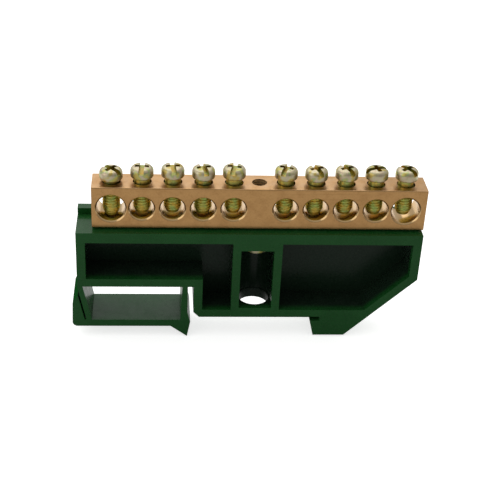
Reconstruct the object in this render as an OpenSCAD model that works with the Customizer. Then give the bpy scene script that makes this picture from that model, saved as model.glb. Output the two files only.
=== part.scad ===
// Earth terminal bar on a clip-on carrier for a 35 mm mounting rail.
//
// Origin: on the fixing screw's axis, in the plane of the rail seat.
// +X runs along the bar, away from the spring clip.  +Y points to the closed back.
// +Z points up, away from the rail.  All sizes are in millimetres.

/* [Rail] */
// Width of the rail over its flanges
rail_w = 35; // [34.6:0.1:35.4]
// Thickness of the rail's flange
rail_flange_t = 1; // [0.8:0.1:1.1]
// Room for the flange in the two hooks, along the rail's width
rail_play = 0.7; // [0.5:0.1:1]
// Room for the flange in the fixed hook, across its thickness
flange_gap = 0.3; // [0.2:0.05:0.4]
// How far the fixed hook reaches over the flange
fixed_bite = 2.8; // [2:0.1:3.2]
// How far the spring hook's nose reaches over the flange
spring_bite = 0.45; // [0.3:0.05:0.7]

/* [Brass bar] */
// Depth of the bar, front to back
bar_d = 8; // [7.5:0.1:8.6]
// Height of the bar
bar_h = 11.5; // [11.2:0.1:12.5]
// Bar beyond the axis of the last wire way
bar_end = 5.05; // [4.8:0.05:6]
// How far the sawn-off bar lies off the middle of its holes, along X
saw_shift = 0.2; // [0:0.05:0.4]
// Rounding of the drawn bar's long edges
bar_edge_r = 0.3; // [0.2:0.05:0.5]

/* [Wire ways] */
// Distance between neighbouring wire ways
way_pitch = 7.76; // [7.7:0.02:8.4]
// Distance between the two middle wire ways
middle_gap = 13.25; // [12:0.05:15]
// Diameter of the eight inner wire ways
way_d = 6.2; // [5.8:0.1:6.4]
// Diameter of the two end wire ways
end_way_d = 7.3; // [7:0.1:7.5]
// Height of the ways' axis above the bar's underside
way_z = 5.6; // [5.4:0.1:5.8]
// Width of the chamfer round each way's mouth
way_chamfer = 0.4; // [0.2:0.05:0.5]

/* [Terminal screws] */
// Effective diameter of the screws' M5 thread
screw_d = 4.5; // [4.3:0.05:4.6]
// Length of the screw below its head
screw_l = 10; // [9.6:0.1:10.4]
// Diameter of the screw head
head_d = 5.9; // [5.5:0.1:6.4]
// Height of the screw head
head_h = 2.8; // [2.4:0.1:3.2]
// Rounding of the head's upper edge
head_r = 1.2; // [0.8:0.1:1.4]
// Chamfer under the head's edge
head_edge = 0.5; // [0.3:0.05:0.7]
// Width of the driver slot
slot_w = 1.3; // [1:0.1:1.5]
// Depth of the driver slot
slot_depth = 1.3; // [1:0.1:1.5]
// Width of the short slot across it
cross_w = 1.1; // [0.8:0.1:1.4]
// Length of the short slot across it
cross_l = 3.6; // [3:0.1:4]
// Chamfer of the screw's tip
tip_chamfer = 1.2; // [0.8:0.1:1.4]
// Running clearance between a thread and its tapped hole, on the radius
thread_gap = 0.05; // [0.03:0.01:0.08]

/* [Fixing screw] */
// Effective diameter of the fixing screw's M4 thread
fixing_d = 3.55; // [3.4:0.05:3.6]
// Length of the fixing screw below its head
fixing_l = 12; // [10:0.5:14]
// Diameter of its pan head
fixing_head_d = 7; // [6:0.1:7.6]
// Height of its pan head
fixing_head_h = 2.6; // [2.2:0.1:3]
// Rounding of the pan head's edge
fixing_head_r = 1; // [0.7:0.1:1.3]
// Chamfer of its tip
fixing_tip = 0.6; // [0.4:0.1:1]
// Clearance round the fixing screw in the carrier, on the radius
fixing_gap = 0.2; // [0.15:0.05:0.6]

/* [Carrier] */
// Depth of the carrier, front to back
carrier_d = 12.5; // [12.2:0.1:13.5]
// Height of the shelf above the rail seat
shelf_z = 25.5; // [24.5:0.1:27]
// Shelf in front of the bar
shelf_front = 1.95; // [1.6:0.05:2.4]
// Shelf beyond the bar at the clip's end
shelf_end = 3.9; // [3.5:0.1:4.5]
// Height of the pad under the bar
pad_h = 0.5; // [0.3:0.05:0.7]
// Pad's margin inside the bar's outline
pad_inset = 0.8; // [0.6:0.1:1.2]
// Height of the lip behind the bar, above the shelf
lip_h = 1.7; // [1.2:0.1:2.2]
// Clearance between the lip and the bar
lip_gap = 0.1; // [0.05:0.05:0.2]
// Thickness of the outer walls
wall_t = 2.3; // [2:0.1:2.5]
// Thickness of the shelf over the pockets
shelf_t = 2.9; // [2.5:0.1:3.2]
// Thickness of the ribs beside the middle chamber
rib_t = 2.1; // [1.8:0.1:2.4]
// Depth of the pockets
pocket_depth = 9.5; // [8.5:0.1:10]
// Half the width of the middle chamber
chamber_r = 4.3; // [4.1:0.1:4.6]
// Thickness of the chamber's roof, which the fixing screw clamps
roof_t = 5; // [4.6:0.1:5.4]
// Height of the chamber's floor above the rail seat
sill_z = 2.9; // [2.6:0.1:3.6]
// Diameter of the driver's hole in the chamber's floor
driver_hole_d = 8.2; // [8:0.1:8.8]
// Height of the knee where the far end turns down to the fixed hook
knee_z = 12; // [11:0.1:13.5]
// Depth of the fixed hook below the rail seat
hook_drop = 5.75; // [5.2:0.05:6]
// Length of the fixed hook's foot
foot_l = 8.4; // [7.6:0.1:9]
// Slant of the fixed hook's inner face
hook_lean = 1.4; // [1:0.1:1.8]

/* [Spring clip] */
// Height of the clip's window above the rail seat
window_z = 9.45; // [9:0.05:10]
// Width of the slot between the spring arm and the body
arm_slot = 1.55; // [1.3:0.05:1.8]
// Thickness of the spring arm at its root
arm_t = 1.4; // [1.2:0.1:1.6]
// Thickness of the spring arm above its hook
arm_foot_t = 1.8; // [1.6:0.1:2]
// Height of the spring hook's nose below the rail seat
nose_drop = 1.65; // [1.5:0.05:1.9]
// Depth of the spring hook's tip below the rail seat
tip_drop = 6.2; // [5.8:0.1:6.4]
// Length of the slope from the tip back to the clip's floor
tip_run = 4.4; // [4:0.1:5]
// Height of the clip's floor, underside, below the rail seat
clip_drop = 2.95; // [2.7:0.05:3.2]
// Thickness of the clip's floor
clip_t = 2; // [1.8:0.1:2.2]
// Thickness of the slanted leg, along the clip
leg_t = 1.4; // [1.2:0.1:1.6]
// How far the leg leans inwards from top to bottom
leg_lean = 2.2; // [1.8:0.1:2.6]
// Width of the slit between the leg and the release tab
slit_w = 0.5; // [0.4:0.05:0.7]
// Reach of the release tab beyond the body
tab_reach = 1.5; // [1.2:0.1:2]
// Height of the release tab's outer edge above the rail seat
tab_z = 4.05; // [3.5:0.05:4.6]
// Height of the release tab's inner edge above the rail seat
tab_top_z = 6.75; // [6.3:0.05:7.2]
// Slope of the release tab's outer edge, across for each unit of height
tab_draft = 0.03; // [0:0.01:0.06]
// Rounding of the tab's lower corner
tab_r = 1.3; // [1:0.1:1.6]

/* [Hidden] */
WAYS = 10;

$fn = 64;
eps = 0.01;

// How far each terminal screw stands back from the floor of its wire way
backed_off = [0.1, 0.2, 0.4, 0.15, 0.4, 0.3, 0.15, 0.4, 0.4, 1];
// How far each terminal screw's slot is turned from the bar's depth
slot_turn = [49, -4, 6, 14, -12, -22, 20, 24, -75, 40];

// Bar and ways
side_ways = WAYS / 2;
function side(i) = i < side_ways ? -1 : 1;
function step(i) = i < side_ways ? side_ways - 1 - i : i - side_ways;
function way_x(i) = side(i) * (middle_gap / 2 + step(i) * way_pitch);
function is_end(i) = step(i) == side_ways - 1;
function way_r(i) = (is_end(i) ? end_way_d : way_d) / 2;
bar_l = 2 * (way_x(WAYS - 1) + bar_end);
bar_z = shelf_z + pad_h;
bar_top = bar_z + bar_h;

// Height above the bar's underside at which a screw's tip meets the round floor of its way
screw_r = screw_d / 2;
tip_r = screw_r - tip_chamfer;
function way_floor(i, x) = way_z - sqrt(way_r(i) * way_r(i) - x * x);
function tip_stop(i) = max(way_floor(i, tip_r), way_floor(i, screw_r) - tip_chamfer);
// Gap under the head when the screw is backed off, never less than nothing
function head_gap(i) = max(0, tip_stop(i) + screw_l - bar_h) + backed_off[i];

// Carrier
front_y = -bar_d / 2 - shelf_front;
back_y = front_y + carrier_d;
left_x = -bar_l / 2 - shelf_end;
right_x = bar_l / 2;
lip_y = bar_d / 2 + lip_gap;
pocket_top = shelf_z - shelf_t;
roof_z = shelf_z - roof_t;
seat_l = rail_w / 2 + rail_play / 2;
step_x = -seat_l + arm_slot;
hook_x = rail_w / 2 - fixed_bite;
toe_x = hook_x + hook_lean + foot_l;

// Inner side of the slanted wall between the knee and the fixed hook
slant = atan2(knee_z + hook_drop, right_x - toe_x);
inner_x = right_x - wall_t;
inner_knee_z = knee_z + wall_t * (1 / cos(slant) - tan(slant));
inner_toe_x = inner_x - (inner_knee_z - wall_t) / tan(slant);

// Points of an arc about c, from angle a to angle b
function arc(c, r, a, b, n = 6) =
    [for (k = [0:n]) let (t = a + (b - a) * k / n) [c[0] + r * cos(t), c[1] + r * sin(t)]];

// Extrude an outline drawn in X and Z from y0 to y1
module slab(y0, y1) {
    translate([0, y1, 0])
        rotate([90, 0, 0])
            linear_extrude(y1 - y0)
                children();
}

// ---------------------------------------------------------------- carrier

// Body above the rail, with the fixed hook at its far end
module body_outline() {
    polygon([
        [left_x, window_z],
        [left_x, shelf_z],
        [right_x, shelf_z],
        [right_x, knee_z],
        [toe_x, -hook_drop],
        [hook_x + hook_lean, -hook_drop],
        [hook_x, 0],
        [step_x + arm_slot, 0],
        [step_x, arm_slot],
        [step_x, window_z],
    ]);
}

// Slot in the fixed hook for one flange of the rail, with half of the gap above the flange
module flange_slot_outline() {
    slot_r = (rail_flange_t + flange_gap) / 2;
    slot_bottom = flange_gap / 2 - 2 * slot_r;
    translate([hook_x - eps, slot_bottom])
        square([seat_l - slot_r - hook_x + eps, 2 * slot_r]);
    translate([seat_l - slot_r, slot_bottom + slot_r])
        circle(slot_r);
}

// Spring leg, floor, release tab and hooked arm, seen from the front
module clip_outline() {
    floor_z = clip_t - clip_drop;
    leg_x = left_x + leg_lean;
    function leg_outer(z) = left_x + leg_lean * (window_z - z) / (window_z - floor_z);
    // slanted leg
    polygon([
        [left_x, window_z + wall_t / 2],
        [left_x + leg_t, window_z + wall_t / 2],
        [left_x + leg_t, window_z],
        [leg_x + leg_t, floor_z],
        [leg_x + leg_t, -clip_drop + clip_t / 2],
        [leg_x, -clip_drop + clip_t / 2],
        [leg_x, floor_z],
        [left_x, window_z],
    ]);
    // floor with the release tab at its outer end
    polygon(concat(
        [
            [-seat_l - tip_run, -clip_drop],
            [-seat_l - arm_foot_t, floor_z],
            [leg_x - slit_w, floor_z],
            [leg_outer(tab_top_z) - slit_w, tab_top_z],
            [left_x - tab_reach + (tab_z - floor_z) * tab_draft, tab_z],
        ],
        arc([left_x - tab_reach + tab_r, tab_r - clip_drop], tab_r, 180, 270)
    ));
    // arm and hook
    polygon([
        [-seat_l - arm_t, window_z + wall_t / 2],
        [-seat_l, window_z + wall_t / 2],
        [-seat_l, arm_slot],
        [-rail_w / 2 + spring_bite, -nose_drop],
        [-seat_l, -tip_drop],
        [-seat_l - tip_run, -clip_drop],
        [-seat_l - arm_foot_t, floor_z],
    ]);
}

// The two pockets, cored from the front
module pockets_outline() {
    ledge_z = window_z + wall_t;
    near_x = chamber_r + rib_t;
    polygon([
        [left_x + wall_t, ledge_z],
        [left_x + wall_t, pocket_top],
        [-near_x, pocket_top],
        [-near_x, wall_t],
        [step_x + wall_t, wall_t],
        [step_x + wall_t, ledge_z],
    ]);
    polygon([
        [near_x, wall_t],
        [near_x, pocket_top],
        [inner_x, pocket_top],
        [inner_x, inner_knee_z],
        [inner_toe_x, wall_t],
    ]);
}

// Middle chamber: round at the back, open at the front
module chamber() {
    translate([0, 0, sill_z])
        cylinder(r = chamber_r, h = roof_z - sill_z);
    translate([-chamber_r, front_y - eps, sill_z])
        cube([2 * chamber_r, -front_y + eps, roof_z - sill_z]);
}

module carrier() {
    color([0.09, 0.24, 0.11])
    difference() {
        union() {
            slab(front_y, back_y) {
                body_outline();
                clip_outline();
            }
            // lip behind the bar
            translate([left_x, lip_y, shelf_z - wall_t / 2])
                cube([right_x - left_x, back_y - lip_y, lip_h + wall_t / 2]);
            // pad under the bar
            translate([-bar_l / 2 + pad_inset, -bar_d / 2 + pad_inset, shelf_z - wall_t / 2])
                cube([bar_l - 2 * pad_inset, bar_d - 2 * pad_inset, pad_h + wall_t / 2]);
        }
        slab(front_y - eps, front_y + pocket_depth)
            pockets_outline();
        slab(front_y - eps, back_y + eps)
            flange_slot_outline();
        chamber();
        // driver's hole in the chamber's floor
        translate([0, 0, -eps])
            cylinder(d = driver_hole_d, h = sill_z + 2 * eps);
        // clearance hole for the fixing screw
        translate([0, 0, roof_z - eps])
            cylinder(r = fixing_d / 2 + fixing_gap, h = bar_z - roof_z + 2 * eps);
    }
}

// ---------------------------------------------------------------- bar

// Section of the drawn bar, in Y and Z
module bar_section() {
    r = bar_edge_r;
    translate([-bar_d / 2 + r, 0])
        square([bar_d - 2 * r, bar_h]);
    translate([-bar_d / 2, r])
        square([bar_d, bar_h - 2 * r]);
    for (y = [-bar_d / 2 + r, bar_d / 2 - r], z = [r, bar_h - r])
        translate([y, z])
            circle(r);
}

// Wire way through the bar, with a chamfered mouth at each side
module wire_way(r) {
    rotate([-90, 0, 0])
        translate([0, 0, -bar_d / 2 - eps])
            cylinder(r = r, h = bar_d + 2 * eps);
    for (end = [0, 180])
        rotate([0, 0, end])
            rotate([-90, 0, 0])
                translate([0, 0, -bar_d / 2 - eps])
                    cylinder(r1 = r + way_chamfer + eps, r2 = r, h = way_chamfer + eps);
}

module busbar() {
    color([0.76, 0.56, 0.36])
    difference() {
        translate([saw_shift - bar_l / 2, 0, bar_z])
            rotate([90, 0, 90])
                linear_extrude(bar_l)
                    bar_section();
        for (i = [0:WAYS - 1])
            translate([way_x(i), 0, bar_z + way_z]) {
                wire_way(way_r(i));
                // tapped hole from the top of the bar into the way
                cylinder(r = screw_r + thread_gap, h = bar_h - way_z + eps);
            }
        // tapped hole for the fixing screw
        translate([0, 0, bar_z - eps])
            cylinder(r = fixing_d / 2 + thread_gap, h = bar_h + 2 * eps);
    }
}

// ---------------------------------------------------------------- screws

// Half section of a terminal screw: domed head above z = 0, chamfered thread below it
module screw_profile() {
    polygon(concat(
        [
            [0, -screw_l],
            [tip_r, -screw_l],
            [screw_r, tip_chamfer - screw_l],
            [screw_r, 0],
            [head_d / 2 - head_edge, 0],
            [head_d / 2, head_edge],
        ],
        arc([head_d / 2 - head_r, head_h - head_r], head_r, 0, 90),
        [[0, head_h]]
    ));
}

// Terminal screw with a slot and a short slot across it
module terminal_screw(i) {
    color([0.72, 0.69, 0.42])
    translate([way_x(i), 0, bar_top + head_gap(i)])
        rotate([0, 0, slot_turn[i]])
            difference() {
                rotate_extrude()
                    screw_profile();
                translate([-slot_w / 2, -head_d, head_h - slot_depth])
                    cube([slot_w, 2 * head_d, slot_depth + eps]);
                translate([-cross_l / 2, -cross_w / 2, head_h - slot_depth])
                    cube([cross_l, cross_w, slot_depth + eps]);
            }
}

// Fixing screw: pan head under the chamber's roof, thread up into the bar
module fixing_screw() {
    r = fixing_d / 2;
    head = fixing_head_d / 2;
    color([0.72, 0.69, 0.42])
    translate([0, 0, roof_z])
        difference() {
            rotate_extrude()
                polygon(concat(
                    [[0, -fixing_head_h]],
                    arc([head - fixing_head_r, fixing_head_r - fixing_head_h], fixing_head_r, -90, 0),
                    [
                        [head, 0],
                        [r, 0],
                        [r, fixing_l - fixing_tip],
                        [r - fixing_tip, fixing_l],
                        [0, fixing_l],
                    ]
                ));
            // cross recess
            for (turn = [45, 135])
                rotate([0, 0, turn])
                    translate([-cross_l / 2, -cross_w / 2, -fixing_head_h - eps])
                        cube([cross_l, cross_w, slot_depth + eps]);
        }
}

carrier();
busbar();
fixing_screw();
terminal_screw(0);  // terminal_screw_1
terminal_screw(1);  // terminal_screw_2
terminal_screw(2);  // terminal_screw_3
terminal_screw(3);  // terminal_screw_4
terminal_screw(4);  // terminal_screw_5
terminal_screw(5);  // terminal_screw_6
terminal_screw(6);  // terminal_screw_7
terminal_screw(7);  // terminal_screw_8
terminal_screw(8);  // terminal_screw_9
terminal_screw(9);  // terminal_screw_10
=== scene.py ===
"""Earth terminal bar: a drilled brass bar with ten clamp screws, standing on a green moulded
carrier that clips onto a 35 mm mounting rail. All lengths are in metres, in the part's frame:
+X along the bar away from the spring clip, +Y to the closed back, +Z up from the rail seat."""

import math

import bmesh
import bpy
from mathutils import Matrix, Vector


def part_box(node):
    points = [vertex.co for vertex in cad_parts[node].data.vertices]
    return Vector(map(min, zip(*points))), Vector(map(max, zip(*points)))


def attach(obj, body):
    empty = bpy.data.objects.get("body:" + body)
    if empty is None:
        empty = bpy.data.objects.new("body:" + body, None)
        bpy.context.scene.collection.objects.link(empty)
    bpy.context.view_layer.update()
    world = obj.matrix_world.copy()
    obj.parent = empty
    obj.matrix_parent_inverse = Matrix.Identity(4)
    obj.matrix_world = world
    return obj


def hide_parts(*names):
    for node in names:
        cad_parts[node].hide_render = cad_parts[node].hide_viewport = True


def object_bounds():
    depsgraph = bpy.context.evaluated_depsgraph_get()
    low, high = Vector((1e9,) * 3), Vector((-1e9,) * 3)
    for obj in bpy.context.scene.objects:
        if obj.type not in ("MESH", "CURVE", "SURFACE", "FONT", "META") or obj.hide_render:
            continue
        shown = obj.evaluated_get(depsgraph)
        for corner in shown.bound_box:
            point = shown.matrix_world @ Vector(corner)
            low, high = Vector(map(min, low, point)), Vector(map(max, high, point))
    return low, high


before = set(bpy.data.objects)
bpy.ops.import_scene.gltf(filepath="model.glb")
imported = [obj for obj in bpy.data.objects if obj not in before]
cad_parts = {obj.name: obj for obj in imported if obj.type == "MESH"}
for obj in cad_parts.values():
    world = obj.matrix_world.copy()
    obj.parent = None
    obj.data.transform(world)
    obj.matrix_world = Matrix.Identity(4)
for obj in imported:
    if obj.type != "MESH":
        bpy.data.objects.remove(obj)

cad_box = [list(corner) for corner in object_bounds()]
mm = 0.001

# ---------------------------------------------------------------------------------------
# The view, the table it stands on and the light
# A white table under plain soft light: one wide lamp above and behind, a weaker one front left.
# ---------------------------------------------------------------------------------------
camera_data = bpy.data.cameras.new("product_view")
camera_data.sensor_width = 36.0
camera_data.lens = 82.65
camera_data.clip_start = 0.01
camera = bpy.data.objects.new("product_view", camera_data)
bpy.context.scene.collection.objects.link(camera)
camera.matrix_world = (
    Matrix.Translation(Vector((-26.10, -257.91, 173.60)) * mm)
    @ Matrix.Rotation(math.radians(-5.435), 4, "Z")
    @ Matrix.Rotation(math.radians(-31.10), 4, "X")
    @ Matrix.Rotation(math.radians(-3.205), 4, "Y")
    @ Matrix.Rotation(math.radians(90.0), 4, "X")
)
bpy.context.scene.camera = camera
bpy.context.scene.view_settings.view_transform = "Standard"

table_half = 1.5
table_z = cad_box[0][2] - 0.02 * mm
table_mesh = bpy.data.meshes.new("white_table")
table_mesh.from_pydata(
    [
        (-table_half, -table_half, table_z),
        (table_half, -table_half, table_z),
        (table_half, table_half, table_z),
        (-table_half, table_half, table_z),
    ],
    [],
    [(0, 1, 2, 3)],
)
table = bpy.data.objects.new("white_table", table_mesh)
bpy.context.scene.collection.objects.link(table)


def new_material(name):
    """An empty node material, as (material, its nodes, its links, its output node)."""
    material = bpy.data.materials.new(name)
    material.use_nodes = True
    nodes, links = material.node_tree.nodes, material.node_tree.links
    nodes.clear()
    return material, nodes, links, nodes.new("ShaderNodeOutputMaterial")


table_white, nodes, links, output = new_material("table_white")
paper = nodes.new("ShaderNodeBsdfDiffuse")
paper.inputs["Color"].default_value = (0.80, 0.80, 0.79, 1)
glow = nodes.new("ShaderNodeEmission")
seen = nodes.new("ShaderNodeLightPath")
straight = nodes.new("ShaderNodeMath")
straight.operation = "MAXIMUM"
# reflections find the paper white behind the part, and dimmer in front of it
place = nodes.new("ShaderNodeSeparateXYZ")
behind = nodes.new("ShaderNodeMapRange")
behind.interpolation_type = "SMOOTHSTEP"
for socket, value in zip(behind.inputs[1:5], (-0.02, 0.06, 0.05, 0.46)):
    socket.default_value = value
mirrored = nodes.new("ShaderNodeMath")
mirrored.operation = "MULTIPLY"
strength = nodes.new("ShaderNodeMath")
strength.operation = "MULTIPLY_ADD"
strength.inputs[1].default_value = 0.70
both = nodes.new("ShaderNodeAddShader")
links.new(nodes.new("ShaderNodeTexCoord").outputs["Object"], place.inputs[0])
links.new(place.outputs[1], behind.inputs["Value"])
links.new(behind.outputs[0], mirrored.inputs[0])
links.new(seen.outputs["Is Glossy Ray"], mirrored.inputs[1])
links.new(seen.outputs["Is Camera Ray"], straight.inputs[0])
links.new(seen.outputs["Is Transmission Ray"], straight.inputs[1])
links.new(straight.outputs[0], strength.inputs[0])
links.new(mirrored.outputs[0], strength.inputs[2])
links.new(strength.outputs[0], glow.inputs["Strength"])
links.new(paper.outputs[0], both.inputs[0])
links.new(glow.outputs[0], both.inputs[1])
links.new(both.outputs[0], output.inputs["Surface"])
table_mesh.materials.append(table_white)

room = bpy.data.worlds.new("white_room")
room.use_nodes = True
bpy.context.scene.world = room
nodes, links = room.node_tree.nodes, room.node_tree.links
nodes.clear()
# the room is white behind and overhead, and dimmer in front
aim = nodes.new("ShaderNodeTexCoord")
toward_back = nodes.new("ShaderNodeVectorMath")
toward_back.operation = "DOT_PRODUCT"
toward_back.inputs[1].default_value = (-0.12, 0.78, 0.61)
fade = nodes.new("ShaderNodeMapRange")
fade.interpolation_type = "SMOOTHSTEP"
for socket, value in zip(fade.inputs[1:5], (-0.45, 0.60, 0.33, 0.62)):
    socket.default_value = value
around = nodes.new("ShaderNodeBackground")
around.inputs["Color"].default_value = (1.0, 1.0, 1.0, 1)
backdrop = nodes.new("ShaderNodeBackground")
backdrop.inputs["Color"].default_value = (1.0, 1.0, 1.0, 1)
backdrop.inputs["Strength"].default_value = 1.0
either = nodes.new("ShaderNodeMixShader")
rays = nodes.new("ShaderNodeLightPath")
output = nodes.new("ShaderNodeOutputWorld")
links.new(aim.outputs["Generated"], toward_back.inputs[0])
links.new(toward_back.outputs["Value"], fade.inputs["Value"])
links.new(fade.outputs["Result"], around.inputs["Strength"])
links.new(rays.outputs["Is Camera Ray"], either.inputs[0])
links.new(around.outputs[0], either.inputs[1])
links.new(backdrop.outputs[0], either.inputs[2])
links.new(either.outputs[0], output.inputs["Surface"])


def soft_lamp(name, place, aim, size, watts):
    """A square area lamp at one place, facing another."""
    data = bpy.data.lights.new(name, "AREA")
    data.shape = "SQUARE"
    data.size = size
    data.energy = watts
    lamp = bpy.data.objects.new(name, data)
    bpy.context.scene.collection.objects.link(lamp)
    away = (Vector(place) - Vector(aim)).to_track_quat("Z", "Y")
    lamp.matrix_world = Matrix.Translation(place) @ away.to_matrix().to_4x4()


soft_lamp("lamp_above", (-0.15, 0.45, 0.75), (0, 0, 0.02), 1.00, 3.4)
soft_lamp("lamp_left", (-0.75, -0.35, 0.40), (0, 0, 0.02), 0.70, 1.4)

# ---------------------------------------------------------------------------------------
# Carrier: one injection moulding in glossy dark green plastic, with its spring clip
# The solid's own shape, with the small radii that a moulding tool leaves on every edge.
# ---------------------------------------------------------------------------------------
carrier_edge = 0.22 * mm


def copy_with_round_edges(node, name, radius, steps, angle=28):
    """A merged copy of a node's solid, its outer edges rounded; the node itself stays as it is."""
    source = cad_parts[node]
    source = bpy.data.objects[source] if isinstance(source, str) else source
    mesh = source.data.copy()
    mesh.name = name
    shape = bmesh.new()
    shape.from_mesh(mesh)
    bmesh.ops.remove_doubles(shape, verts=shape.verts, dist=0.002 * mm)
    bmesh.ops.dissolve_limit(
        shape, angle_limit=math.radians(0.6), verts=shape.verts, edges=shape.edges
    )
    shape.to_mesh(mesh)
    shape.free()
    mesh.materials.clear()
    piece = bpy.data.objects.new(name, mesh)
    bpy.context.scene.collection.objects.link(piece)
    rounding = piece.modifiers.new("mould_radii", "BEVEL")
    rounding.width = radius
    rounding.segments = steps
    rounding.limit_method = "ANGLE"
    rounding.angle_limit = math.radians(angle)
    rounding.use_clamp_overlap = True
    rounding.harden_normals = True
    return piece


carrier = copy_with_round_edges("carrier", "carrier_moulding", carrier_edge, 3)
# the faces inside the pockets are marked for the painted shade: below the shelf, and ending short of
# the closed back
carrier_front, carrier_back = (corner[1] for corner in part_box("carrier"))
pocket_top, rail_seat = 23.0 * mm, 0.1 * mm
front_rim, back_wall = 0.5 * mm, 1.0 * mm
shade_marks = carrier.data.attributes.new("pocket_shade", "FLOAT", "FACE")
for face, mark in zip(carrier.data.polygons, shade_marks.data):
    deepest = max(carrier.data.vertices[k].co.y for k in face.vertices)
    inside = carrier_front + front_rim < deepest < carrier_back - back_wall
    mark.value = float(inside and rail_seat < face.center.z < pocket_top)

def shader_group(name, inputs, outputs):
    """An empty shader node group with these float or vector sockets."""
    group = bpy.data.node_groups.new(name, "ShaderNodeTree")
    for label, default in inputs.items():
        kind = "NodeSocketVector" if default is None else "NodeSocketFloat"
        socket = group.interface.new_socket(label, in_out="INPUT", socket_type=kind)
        if default is not None:
            socket.default_value = default
    for label in outputs:
        group.interface.new_socket(label, in_out="OUTPUT", socket_type="NodeSocketFloat")
    return group, group.nodes.new("NodeGroupInput"), group.nodes.new("NodeGroupOutput")


def range_node(nodes, low, high, to_low=0.0, to_high=1.0, smooth=False):
    """A Map Range node between fixed numbers."""
    node = nodes.new("ShaderNodeMapRange")
    node.interpolation_type = "SMOOTHSTEP" if smooth else "LINEAR"
    for socket, value in zip(node.inputs[1:5], (low, high, to_low, to_high)):
        socket.default_value = value
    return node


def make_patches():
    """Soft clouds a few millimetres across, such as haze, tarnish and thick or thin plating."""
    group, given, result = shader_group(
        "soft patches", {"Vector": None, "Scale": 300.0, "Low": 0.4, "High": 0.6}, ["Mask"]
    )
    cloud = group.nodes.new("ShaderNodeTexNoise")
    cloud.inputs["Detail"].default_value = 3.0
    cloud.inputs["Roughness"].default_value = 0.55
    step = range_node(group.nodes, 0.4, 0.6, smooth=True)
    group.links.new(given.outputs["Vector"], cloud.inputs["Vector"])
    group.links.new(given.outputs["Scale"], cloud.inputs["Scale"])
    group.links.new(cloud.outputs[0], step.inputs["Value"])
    group.links.new(given.outputs["Low"], step.inputs[1])
    group.links.new(given.outputs["High"], step.inputs[2])
    group.links.new(step.outputs[0], result.inputs["Mask"])
    return group


def make_grain():
    """Fine lines along one direction, as drawing, polishing or handling leaves them."""
    group, given, result = shader_group(
        "fine lines",
        {"Vector": None, "Along": 60.0, "Across": 2500.0, "Turn": 0.0},
        ["Lines", "Deep Lines"],
    )
    turned = group.nodes.new("ShaderNodeVectorRotate")
    turned.rotation_type = "Z_AXIS"
    spread = group.nodes.new("ShaderNodeCombineXYZ")
    stretched = group.nodes.new("ShaderNodeVectorMath")
    stretched.operation = "MULTIPLY"
    lines = group.nodes.new("ShaderNodeTexNoise")
    lines.inputs["Scale"].default_value = 1.0
    lines.inputs["Detail"].default_value = 2.0
    deep = range_node(group.nodes, 0.60, 0.72)
    links = group.links
    links.new(given.outputs["Vector"], turned.inputs["Vector"])
    links.new(given.outputs["Turn"], turned.inputs["Angle"])
    links.new(given.outputs["Along"], spread.inputs[0])
    links.new(given.outputs["Across"], spread.inputs[1])
    links.new(given.outputs["Across"], spread.inputs[2])
    links.new(turned.outputs[0], stretched.inputs[0])
    links.new(spread.outputs[0], stretched.inputs[1])
    links.new(stretched.outputs[0], lines.inputs["Vector"])
    links.new(lines.outputs[0], deep.inputs["Value"])
    links.new(lines.outputs[0], result.inputs["Lines"])
    links.new(deep.outputs[0], result.inputs["Deep Lines"])
    return group


def make_dust(patches):
    """Dust and grease that settle on what faces up, thicker here and thinner there; on the brass it
    also paints a lighter sheen on the tops.
    """
    group, given, result = shader_group(
        "settled dust", {"Vector": None, "Scale": 500.0, "Amount": 0.2}, ["Mask"]
    )
    surface = group.nodes.new("ShaderNodeNewGeometry")
    apart = group.nodes.new("ShaderNodeSeparateXYZ")
    upward = range_node(group.nodes, 0.55, 0.98, smooth=True)
    cloud = group.nodes.new("ShaderNodeGroup")
    cloud.node_tree = patches
    cloud.inputs["Low"].default_value = 0.2
    cloud.inputs["High"].default_value = 0.75
    both = group.nodes.new("ShaderNodeMath")
    both.operation = "MULTIPLY"
    scaled = group.nodes.new("ShaderNodeMath")
    scaled.operation = "MULTIPLY"
    links = group.links
    links.new(surface.outputs["Normal"], apart.inputs[0])
    links.new(apart.outputs[2], upward.inputs["Value"])
    links.new(given.outputs["Vector"], cloud.inputs["Vector"])
    links.new(given.outputs["Scale"], cloud.inputs["Scale"])
    links.new(upward.outputs[0], both.inputs[0])
    links.new(cloud.outputs["Mask"], both.inputs[1])
    links.new(both.outputs[0], scaled.inputs[0])
    links.new(given.outputs["Amount"], scaled.inputs[1])
    links.new(scaled.outputs[0], result.inputs["Mask"])
    return group


patches_group = make_patches()
grain_group = make_grain()
dust_group = make_dust(patches_group)


def placed(nodes, links, group, vector, **values):
    """One of the shared groups put into a material, with its own values."""
    node = nodes.new("ShaderNodeGroup")
    node.node_tree = group
    links.new(vector, node.inputs["Vector"])
    for label, value in values.items():
        node.inputs[label].default_value = value
    return node


def mixed(nodes, links, factor, first, second, kind="MIX"):
    """Colours mixed by a mask; each is a colour or another node's output."""
    node = nodes.new("ShaderNodeMix")
    node.data_type = "RGBA"
    node.blend_type = kind
    for socket, value in ((node.inputs[0], factor), (node.inputs[6], first), (node.inputs[7], second)):
        if isinstance(value, bpy.types.NodeSocket):
            links.new(value, socket)
        else:
            socket.default_value = value
    return node.outputs[2]


moulded_green = (0.0062, 0.0640, 0.0105, 1)
flow_green = (0.0088, 0.0760, 0.0140, 1)
# painted shade: the darker green painted on the faces inside the pockets
pocket_shade_green = (0.0085, 0.0210, 0.0110, 1)
dust_grey = (0.200, 0.230, 0.190, 1)

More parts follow.
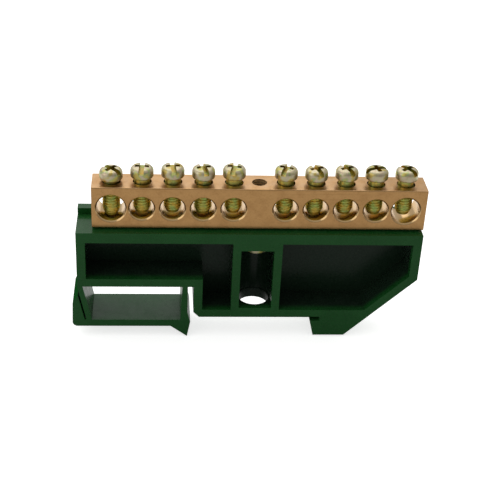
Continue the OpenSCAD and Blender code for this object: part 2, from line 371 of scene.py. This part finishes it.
green, nodes, links, output = new_material("green_moulding")
body = nodes.new("ShaderNodeBsdfPrincipled")
where = nodes.new("ShaderNodeTexCoord").outputs["Object"]
flow = placed(nodes, links, patches_group, where, Scale=90.0, Low=0.35, High=0.75)
dust = placed(nodes, links, dust_group, where, Scale=350.0, Amount=0.03)
haze = placed(nodes, links, patches_group, where, Scale=600.0, Low=0.3, High=0.8)
colour = mixed(nodes, links, flow.outputs[0], moulded_green, flow_green)
# painted shade: the pockets' walls and back are painted a darker green from just inside the front face
# inwards, where shade falls in the recesses
apart = nodes.new("ShaderNodeSeparateXYZ")
deep = range_node(nodes, carrier_front + 0.6 * mm, carrier_front + 3.0 * mm, smooth=True)
pocket = nodes.new("ShaderNodeAttribute")
pocket.attribute_name = "pocket_shade"
pocket_shade_mask = nodes.new("ShaderNodeMath")
pocket_shade_mask.operation = "MULTIPLY"
links.new(where, apart.inputs[0])
links.new(apart.outputs[1], deep.inputs["Value"])
links.new(deep.outputs[0], pocket_shade_mask.inputs[0])
links.new(pocket.outputs["Fac"], pocket_shade_mask.inputs[1])
colour = mixed(nodes, links, pocket_shade_mask.outputs[0], colour, pocket_shade_green)
# the end faces on the clip's side are scuffed matt by the drivers that lever the release tab
facing = nodes.new("ShaderNodeSeparateXYZ")
clip_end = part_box("carrier")[0][0]
at_end = range_node(nodes, clip_end + 3.4 * mm, clip_end + 3.8 * mm, 1.0, 0.0)
outward = range_node(nodes, -0.75, -0.50, 1.0, 0.0)
scuffed = nodes.new("ShaderNodeMath")
scuffed.operation = "MULTIPLY"
shine = range_node(nodes, 0.0, 1.0, 0.17, 0.0)
links.new(nodes.new("ShaderNodeNewGeometry").outputs["Normal"], facing.inputs[0])
links.new(apart.outputs[0], at_end.inputs["Value"])
links.new(facing.outputs[0], outward.inputs["Value"])
links.new(at_end.outputs[0], scuffed.inputs[0])
links.new(outward.outputs[0], scuffed.inputs[1])
links.new(scuffed.outputs[0], shine.inputs["Value"])
links.new(shine.outputs[0], body.inputs["Specular IOR Level"])
colour = mixed(nodes, links, dust.outputs[0], colour, dust_grey)
gloss = range_node(nodes, 0.0, 1.0, 0.24, 0.34)
skin = nodes.new("ShaderNodeTexNoise")
skin.inputs["Scale"].default_value = 900.0
relief = nodes.new("ShaderNodeBump")
relief.inputs["Strength"].default_value = 0.12
relief.inputs["Distance"].default_value = 0.02 * mm
links.new(where, skin.inputs["Vector"])
links.new(skin.outputs[0], relief.inputs["Height"])
links.new(haze.outputs[0], gloss.inputs["Value"])
links.new(colour, body.inputs["Base Color"])
links.new(gloss.outputs[0], body.inputs["Roughness"])
links.new(relief.outputs[0], body.inputs["Normal"])
links.new(body.outputs[0], output.inputs["Surface"])
carrier.data.materials.append(green)
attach(carrier, "holder")
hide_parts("carrier")

# ---------------------------------------------------------------------------------------
# Bar: one length of drawn brass, sawn off, drilled across for the wires and tapped from above
# Ten M5 threads run from its top down into the wire ways and one M4 thread right through it.
# ---------------------------------------------------------------------------------------
M5_PITCH, M4_PITCH = 0.80, 0.70  # mm, as every size that goes into the trees below
bar_low, bar_high = (Vector(corner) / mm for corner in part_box("busbar"))


class Tree:
    """A Geometry Nodes tree as it is built: named inputs, and short calls that add its nodes."""

    def __init__(self, name):
        self.group = bpy.data.node_groups.new(name, "GeometryNodeTree")
        self.nodes, self.links = self.group.nodes, self.group.links
        self.key = {}
        self.group.interface.new_socket("Geometry", in_out="OUTPUT", socket_type="NodeSocketGeometry")
        self.given = self.nodes.new("NodeGroupInput")
        self.result = self.nodes.new("NodeGroupOutput")

    def size(self, name, default=0.0, kind="Float"):
        """A named input of the tree."""
        socket = self.group.interface.new_socket(name, in_out="INPUT", socket_type="NodeSocket" + kind)
        if kind in ("Float", "Vector"):
            socket.default_value = default
        self.key[name] = socket.identifier
        return self.given.outputs[name]

    def add(self, kind, inputs, output=0, **settings):
        """A node with these settings; each input is another node's output or a plain value."""
        node = self.nodes.new(kind)
        for name, setting in settings.items():
            setattr(node, name, setting)
        for name, value in inputs.items():
            for part in value if isinstance(value, list) else [value]:
                if isinstance(part, bpy.types.NodeSocket):
                    self.links.new(part, node.inputs[name])
                else:
                    node.inputs[name].default_value = part
        return node.outputs[output]

    def marked(self, geometry, name, value):
        """The geometry with a number kept on each of its faces, for its material to read."""
        return self.add(
            "GeometryNodeStoreNamedAttribute",
            {"Geometry": geometry, "Name": name, "Value": value},
            data_type="FLOAT",
            domain="FACE",
        )

    def math(self, operation, *values):
        return self.add("ShaderNodeMath", dict(enumerate(values)), operation=operation)

    def vector(self, *values):
        return self.add("ShaderNodeCombineXYZ", dict(enumerate(values)))

    def moved(self, geometry, **place):
        return self.add("GeometryNodeTransform", {"Geometry": geometry, **place})

    def finish(self, geometry, material):
        real = self.add("GeometryNodeRealizeInstances", {0: geometry})
        coated = self.add("GeometryNodeSetMaterial", {"Geometry": real, "Material": material})
        self.links.new(coated, self.result.inputs[0])


def turned_sheet(tree, columns, rows, outline):
    """A closed sheet round the Z axis; outline(u, v) gives the radius and height, both in mm."""
    sheet = tree.add(
        "GeometryNodeMeshGrid",
        {"Size X": 1.0, "Size Y": 1.0, "Vertices X": columns + 1, "Vertices Y": rows},
    )
    place = tree.add("GeometryNodeInputPosition", {})
    apart = tree.nodes.new("ShaderNodeSeparateXYZ")
    tree.links.new(place, apart.inputs[0])
    u = tree.math("ADD", apart.outputs[0], 0.5)
    radius, height = outline(u, tree.math("ADD", apart.outputs[1], 0.5))
    angle = tree.math("MULTIPLY", u, 2 * math.pi)
    x = tree.math("MULTIPLY", radius, tree.math("COSINE", angle))
    y = tree.math("MULTIPLY", radius, tree.math("SINE", angle))
    wrapped = tree.add(
        "GeometryNodeSetPosition", {"Geometry": sheet, "Position": tree.vector(x, y, height)}
    )
    return tree.add("GeometryNodeMergeByDistance", {"Geometry": wrapped, "Distance": 1e-4})


def threaded_rod(tree, top, bottom, crest, root, pitch, columns, rows, neck=None, tip=None):
    """A right-hand thread from top down to bottom, all sizes in mm.

    neck is the radius and the lower end of a plain stretch under the top; tip is the radius at
    which the last turns, tapering, meet the rounded point.
    """
    end = 1.0 / (rows - 1)

    def outline(u, v):
        along = tree.add("ShaderNodeMapRange", {0: v, 1: end, 2: 1 - end, 3: top, 4: bottom})
        turns = tree.math("SUBTRACT", tree.math("DIVIDE", along, pitch), u)
        swing = tree.math("MULTIPLY_ADD", tree.math("FRACT", turns), 2.0, -1.0)
        radius = tree.add(
            "ShaderNodeMapRange",
            {0: tree.math("ABSOLUTE", swing), 1: 0.12, 2: 0.86, 3: root, 4: crest},
        )
        if neck:
            plain = tree.add(
                "ShaderNodeMapRange",
                {0: along, 1: tree.math("SUBTRACT", neck[1], 0.25), 2: neck[1], 3: crest, 4: neck[0]},
            )
            radius = tree.math("MINIMUM", radius, plain)
        if tip:
            rise = tree.math("SUBTRACT", along, bottom)
            cone = tree.math("MULTIPLY_ADD", rise, 0.42, tip)
            short = tree.add("ShaderNodeMapRange", {0: rise, 1: 0.0, 2: 0.28, 3: 1.0, 4: 0.0})
            cap = tree.math("SQRT", tree.math("SUBTRACT", 1.0, tree.math("POWER", short, 2.0)))
            radius = tree.math("MINIMUM", radius, tree.math("MULTIPLY", cone, cap))
        inside = tree.math("COMPARE", v, 0.5, 0.5 - end / 2)
        return tree.math("MULTIPLY", radius, inside), along

    return turned_sheet(tree, columns, rows, outline)


def tapped_holes_tree():
    """Cuts M5 threads in two rows, left and right of the middle, and an M4 thread in the middle."""
    tree = Tree("tapped holes")
    blank = tree.size("Bar", kind="Geometry")
    pitch = tree.size("Hole Pitch", 7.76)
    first = tree.size("First Hole", 6.625)
    low, high = tree.size("Bar Underside", 26.0), tree.size("Bar Top", 37.5)
    m5_groove, m5_land = tree.size("M5 Groove Radius", 2.52), tree.size("M5 Land Radius", 2.2)
    m4_groove, m4_land = tree.size("M4 Groove Radius", 2.02), tree.size("M4 Land Radius", 1.7)
    finish = tree.size("Finish", kind="Material")
    above = tree.math("ADD", high, 0.4)
    m5_low = tree.math("SUBTRACT", high, 4.4)
    m5 = threaded_rod(tree, above, m5_low, m5_groove, m5_land, M5_PITCH, 36, 74)
    m4_low = tree.math("SUBTRACT", low, 0.4)
    m4 = threaded_rod(tree, above, m4_low, m4_groove, m4_land, M4_PITCH, 36, 212)
    rows = []
    for side in (-1.0, 1.0):
        start = tree.vector(tree.math("MULTIPLY", first, side), 0.0, 0.0)
        step = tree.vector(tree.math("MULTIPLY", pitch, side), 0.0, 0.0)
        rows.append(
            tree.add(
                "GeometryNodeMeshLine",
                {"Count": 5, "Start Location": start, "Offset": step},
            )
        )
    places = tree.add("GeometryNodeJoinGeometry", {0: rows})
    taps = tree.add("GeometryNodeInstanceOnPoints", {"Points": places, "Instance": m5})
    taps = tree.add("GeometryNodeRealizeInstances", {0: taps})
    scaled = {"Scale": (mm, mm, mm)}
    cut = tree.add(
        "GeometryNodeMeshBoolean",
        {0: blank, 1: [tree.moved(taps, **scaled), tree.moved(m4, **scaled)]},
        operation="DIFFERENCE",
        solver="MANIFOLD",
    )
    tree.finish(cut, finish)
    return tree


def made_by(tree, name, sizes, source=None, sharp=35):
    """What a tree makes with these sizes, as a plain mesh of its own."""
    maker_mesh = source or bpy.data.meshes.new(name)
    piece = bpy.data.objects.new(name, maker_mesh)
    bpy.context.scene.collection.objects.link(piece)
    maker = piece.modifiers.new("maker", "NODES")
    maker.node_group = tree.group
    for label, value in sizes.items():
        maker[tree.key[label]] = value
    baked = bpy.data.meshes.new_from_object(
        piece.evaluated_get(bpy.context.evaluated_depsgraph_get())
    )
    piece.modifiers.remove(maker)
    piece.data = baked
    baked.name = name
    baked.set_sharp_from_angle(angle=math.radians(sharp))
    return piece


drawn_colour = (0.510, 0.290, 0.115, 1)
tarnish_colour = (0.370, 0.195, 0.073, 1)
cut_colour = (0.600, 0.400, 0.190, 1)
brass_dust_and_sheen = (0.700, 0.600, 0.480, 1)

brass, nodes, links, output = new_material("drawn_brass")
body = nodes.new("ShaderNodeBsdfPrincipled")
where = nodes.new("ShaderNodeTexCoord").outputs["Object"]
blotches = placed(nodes, links, patches_group, where, Scale=420.0, Low=0.35, High=0.7)
specks = placed(nodes, links, patches_group, where, Scale=2200.0, Low=0.45, High=0.75)
lines = placed(nodes, links, grain_group, where, Along=45.0, Across=2600.0)
dust = placed(nodes, links, dust_group, where, Scale=450.0, Amount=0.16)
tarnish = nodes.new("ShaderNodeMath")
tarnish.operation = "MULTIPLY_ADD"
tarnish.inputs[1].default_value = 0.45
links.new(specks.outputs[0], tarnish.inputs[0])
stain = nodes.new("ShaderNodeMath")
stain.operation = "MULTIPLY"
stain.inputs[1].default_value = 0.40
links.new(blotches.outputs[0], stain.inputs[0])
links.new(stain.outputs[0], tarnish.inputs[2])
colour = mixed(nodes, links, tarnish.outputs[0], drawn_colour, tarnish_colour)
scored = nodes.new("ShaderNodeMath")
scored.operation = "MULTIPLY"
scored.inputs[1].default_value = 0.35
links.new(lines.outputs["Deep Lines"], scored.inputs[0])
colour = mixed(nodes, links, scored.outputs[0], colour, tarnish_colour)
# dust on the up-facing faces: a paler film that is partly dust and partly a painted sheen, which makes
# the bar's top lighter than its front
colour = mixed(nodes, links, dust.outputs[0], colour, brass_dust_and_sheen)
# the drilled and tapped surfaces inside the bar are cleaner and smoother than its drawn skin
apart = nodes.new("ShaderNodeSeparateXYZ")
links.new(where, apart.inputs[0])
depth = nodes.new("ShaderNodeMath")
depth.operation = "ABSOLUTE"
links.new(apart.outputs[1], depth.inputs[0])
within = range_node(nodes, 3.90 * mm, 3.97 * mm, 1.0, 0.0)
below = range_node(nodes, (bar_high.z - 0.12) * mm, (bar_high.z - 0.04) * mm, 1.0, 0.0)
above = range_node(nodes, (bar_low.z + 0.04) * mm, (bar_low.z + 0.12) * mm, 0.0, 1.0)
links.new(depth.outputs[0], within.inputs["Value"])
links.new(apart.outputs[2], below.inputs["Value"])
links.new(apart.outputs[2], above.inputs["Value"])
drilled = nodes.new("ShaderNodeMath")
drilled.operation = "MULTIPLY"
links.new(within.outputs[0], drilled.inputs[0])
links.new(below.outputs[0], drilled.inputs[1])
inside = nodes.new("ShaderNodeMath")
inside.operation = "MULTIPLY"
links.new(drilled.outputs[0], inside.inputs[0])
links.new(above.outputs[0], inside.inputs[1])
colour = mixed(nodes, links, inside.outputs[0], colour, cut_colour)
satin = range_node(nodes, 0.0, 1.0, 0.31, 0.20)
links.new(inside.outputs[0], satin.inputs["Value"])
# the M4 hole in the middle keeps the dull film that its tap left
beside = nodes.new("ShaderNodeMath")
beside.operation = "ABSOLUTE"
central = range_node(nodes, 2.5 * mm, 2.8 * mm, 1.0, 0.0)
filmed = nodes.new("ShaderNodeMath")
filmed.operation = "MULTIPLY"
bare = range_node(nodes, 0.0, 1.0, 1.0, 0.10)
links.new(apart.outputs[0], beside.inputs[0])
links.new(beside.outputs[0], central.inputs["Value"])
links.new(central.outputs[0], filmed.inputs[0])
links.new(inside.outputs[0], filmed.inputs[1])
links.new(filmed.outputs[0], bare.inputs["Value"])
links.new(bare.outputs[0], body.inputs["Metallic"])
relief = nodes.new("ShaderNodeBump")
relief.inputs["Strength"].default_value = 0.25
relief.inputs["Distance"].default_value = 0.02 * mm
links.new(lines.outputs["Lines"], relief.inputs["Height"])
links.new(colour, body.inputs["Base Color"])
links.new(satin.outputs[0], body.inputs["Roughness"])
links.new(relief.outputs[0], body.inputs["Normal"])
links.new(body.outputs[0], output.inputs["Surface"])

blank = copy_with_round_edges("busbar", "bar_blank", 0.12 * mm, 2, 35)
blank_mesh = bpy.data.meshes.new_from_object(
    blank.evaluated_get(bpy.context.evaluated_depsgraph_get())
)
bpy.data.objects.remove(blank)
bar = made_by(
    tapped_holes_tree(),
    "brass_bar",
    {"Bar Underside": bar_low.z, "Bar Top": bar_high.z, "Finish": brass},
    source=blank_mesh,
)
for face in bar.data.polygons:
    face.use_smooth = True
even = bar.modifiers.new("flat_faces", "WEIGHTED_NORMAL")
even.keep_sharp = True
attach(bar, "holder")
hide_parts("busbar")

# ---------------------------------------------------------------------------------------
# Clamp screws: ten M5 x 10 screws, steel, zinc plated and yellow passivated, each by itself
# Cold-headed with a domed head, a driver slot and a short slot across it; the thread is rolled.
# ---------------------------------------------------------------------------------------
clamp_head = {"diameter": 5.9, "height": 2.8, "shoulder": 1.2, "foot": 0.5, "crown": 0.12}
clamp_length = 10.0
clamp_slot_turns = (49, -4, 6, 14, -12, -22, 20, 24, -75, 40)  # degrees from the bar's depth


def head_outline(diameter, height, shoulder, foot, crown):
    """Radii and heights in mm, from the middle of a head's underside over its rim to its top."""
    rim, flat = diameter / 2, diameter / 2 - shoulder
    outline = [(0.0, 0.0), (0.6 * (rim - foot), 0.0)]
    for k in range(6):
        turn = math.radians(90 * k / 5)
        outline.append((rim - foot + foot * math.sin(turn), foot - foot * math.cos(turn)))
    for k in range(9):
        turn = math.radians(90 * k / 8)
        outline.append(
            (flat + shoulder * math.cos(turn), height - shoulder + shoulder * math.sin(turn))
        )
    for share in (0.75, 0.5, 0.25, 0.0):
        outline.append((flat * share, height + crown * (1 - share * share)))
    return outline


def screw_tree(name, head, rows):
    """A slotted screw along Z with the underside of its head at the seat, point down."""
    tree = Tree(name)
    outline = head_outline(**head)
    widest, tallest = max(r for r, _ in outline), max(z for _, z in outline)
    head_d, head_h = tree.size("Head Diameter", 2 * widest), tree.size("Head Height", tallest)
    length, pitch = tree.size("Length", clamp_length), tree.size("Pitch", M5_PITCH)
    crest, root = tree.size("Crest Radius", 2.28), tree.size("Root Radius", 1.95)
    neck_r, neck_l = tree.size("Neck Radius", 1.95), tree.size("Neck Length", 1.9)
    tip = tree.size("Tip Radius", 1.50)
    slot_w, slot_l = tree.size("Slot Width", 1.3), tree.size("Slot Length", 12.0)
    cross_w, cross_l = tree.size("Cross Width", 1.1), tree.size("Cross Length", 3.6)
    slot_depth = tree.size("Slot Depth", 1.3)
    turn, over = tree.size("Turn", 0.0), tree.size("Tilt Over", 0.0)
    seat = tree.size("Seat", (0, 0, 0), "Vector")
    finish = tree.size("Finish", kind="Material")

    def drawn(position, shares):
        curve = tree.nodes.new("ShaderNodeFloatCurve")
        tree.links.new(position, curve.inputs["Value"])
        points = curve.mapping.curves[0].points
        while len(points) < len(shares):
            points.new(0.5, 0.5)
        for k, share in enumerate(shares):
            points[k].location = (k / (len(shares) - 1), share)
            points[k].handle_type = "VECTOR"
        curve.mapping.update()
        return curve.outputs[0]

    def domed(u, v):
        radius = drawn(v, [r / widest for r, _ in outline])
        rise = drawn(v, [z / tallest for _, z in outline])
        half = tree.math("MULTIPLY", head_d, 0.5)
        return tree.math("MULTIPLY", radius, half), tree.math("MULTIPLY", rise, head_h)

    blank = turned_sheet(tree, 64, len(outline), domed)
    deep = tree.math("MULTIPLY", slot_depth, 2.0)
    cutters = []
    for size in ((slot_w, slot_l, deep), (cross_l, cross_w, deep)):
        cutter = tree.add("GeometryNodeMeshCube", {"Size": tree.vector(*size)})
        # the slot walls are marked 2, which the finish reads to paint shade into the slots
        cutter = tree.marked(cutter, "shielded", 2.0)
        cutters.append(tree.moved(cutter, Translation=tree.vector(0.0, 0.0, head_h)))
    slotted = tree.add(
        "GeometryNodeMeshBoolean",
        {0: tree.marked(blank, "shielded", 0.0), 1: cutters},
        operation="DIFFERENCE",
        solver="MANIFOLD",
    )
    point = tree.math("MULTIPLY", length, -1.0)
    neck = (neck_r, tree.math("MULTIPLY", neck_l, -1.0))
    rod = threaded_rod(tree, 0.3, point, crest, root, pitch, 48, rows, neck, tip)
    whole = tree.add("GeometryNodeJoinGeometry", {0: [slotted, tree.marked(rod, "shielded", 1.0)]})
    upright = tree.moved(whole, Rotation=tree.vector(over, 0.0, turn))
    placed = tree.moved(upright, Scale=(mm, mm, mm), Translation=seat)
    tree.finish(placed, finish)
    return tree


zinc, nodes, links, output = new_material("yellow_zinc")
body = nodes.new("ShaderNodeBsdfPrincipled")
body.inputs["Metallic"].default_value = 1.0
where = nodes.new("ShaderNodeTexCoord").outputs["Object"]
bands = nodes.new("ShaderNodeTexNoise")
bands.inputs["Scale"].default_value = 520.0
bands.inputs["Detail"].default_value = 1.0
links.new(where, bands.inputs["Vector"])


def tint_ramp(nodes, tints):
    """A colour ramp through these tints at these positions."""
    ramp = nodes.new("ShaderNodeValToRGB")
    while len(ramp.color_ramp.elements) < len(tints):
        ramp.color_ramp.elements.new(0.5)
    for element, (position, tint) in zip(ramp.color_ramp.elements, tints):
        element.position = position
        element.color = (*tint, 1)
    return ramp


# the passivation's thickness sets its colour, from clear over straw and pink to green
open_tints = tint_ramp(
    nodes,
    (
        (0.30, (0.50, 0.38, 0.11)),
        (0.40, (0.54, 0.48, 0.28)),
        (0.48, (0.55, 0.49, 0.33)),
        (0.55, (0.56, 0.44, 0.30)),
        (0.61, (0.38, 0.45, 0.22)),
        (0.70, (0.50, 0.42, 0.12)),
    ),
)
shielded_tints = tint_ramp(nodes, ((0.36, (0.74, 0.58, 0.13)), (0.62, (0.50, 0.62, 0.20))))
links.new(bands.outputs[0], open_tints.inputs[0])
links.new(bands.outputs[0], shielded_tints.inputs[0])
hidden = nodes.new("ShaderNodeAttribute")
hidden.attribute_name = "shielded"
colour = mixed(nodes, links, hidden.outputs["Fac"], open_tints.outputs[0], shielded_tints.outputs[0])
# painted shade: the slots' walls are marked 2 and their colour is darkened by this multiply, as shade
# falls in the slots
slot_shade = range_node(nodes, 1.2, 1.8)
links.new(hidden.outputs["Fac"], slot_shade.inputs["Value"])
colour = mixed(nodes, links, slot_shade.outputs[0], colour, (0.62, 0.52, 0.40, 1), "MULTIPLY")
dust = placed(nodes, links, dust_group, where, Scale=900.0, Amount=0.10)
colour = mixed(nodes, links, dust.outputs[0], colour, (0.5, 0.5, 0.45, 1))
links.new(colour, body.inputs["Base Color"])
clouds = placed(nodes, links, patches_group, where, Scale=1200.0, Low=0.35, High=0.7)
satin = range_node(nodes, 0.0, 1.0, 0.36, 0.48)
links.new(clouds.outputs[0], satin.inputs["Value"])
links.new(satin.outputs[0], body.inputs["Roughness"])
dents = nodes.new("ShaderNodeTexNoise")
dents.inputs["Scale"].default_value = 900.0
dents.inputs["Detail"].default_value = 1.0
links.new(where, dents.inputs["Vector"])
relief = nodes.new("ShaderNodeBump")
relief.inputs["Strength"].default_value = 0.35
relief.inputs["Distance"].default_value = 0.05 * mm
links.new(dents.outputs[0], relief.inputs["Height"])
links.new(relief.outputs[0], body.inputs["Normal"])
links.new(body.outputs[0], output.inputs["Surface"])

clamp_tree = screw_tree("clamp screw", clamp_head, 168)
for number, slot_turn in enumerate(clamp_slot_turns, start=1):
    low, high = (Vector(corner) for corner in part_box(f"terminal_screw_{number}"))
    seat = ((low.x + high.x) / 2, (low.y + high.y) / 2, low.z + clamp_length * mm)
    screw = made_by(
        clamp_tree,
        f"clamp_screw_{number}",
        {"Turn": math.radians(slot_turn), "Seat": seat, "Finish": zinc},
        sharp=28,
    )
    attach(screw, f"screw_{number}")
    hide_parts(f"terminal_screw_{number}")

# ---------------------------------------------------------------------------------------
# Fixing screw: an M4 x 12 pan-head screw in the same finish
# It is driven up through the hole in the chamber's floor and holds the bar down on the shelf.
# ---------------------------------------------------------------------------------------
fixing_head = {"diameter": 7.0, "height": 2.6, "shoulder": 1.0, "foot": 0.15, "crown": 0.0}
fixing_length = 12.0
low, high = (Vector(corner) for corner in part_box("fixing_screw"))
fixing_screw = made_by(
    screw_tree("fixing screw", fixing_head, 230),
    "fixing_screw",
    {
        "Length": fixing_length,
        "Pitch": M4_PITCH,
        "Crest Radius": 1.8,
        "Root Radius": 1.5,
        "Neck Radius": 1.6,
        "Neck Length": 0.5,
        "Tip Radius": 1.2,
        "Slot Width": 1.1,
        "Slot Length": 3.6,
        "Tilt Over": math.pi,
        "Turn": math.radians(45),
        "Seat": (0, 0, high.z - fixing_length * mm),
        "Finish": zinc,
    },
    sharp=28,
)
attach(fixing_screw, "holder")
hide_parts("fixing_screw")
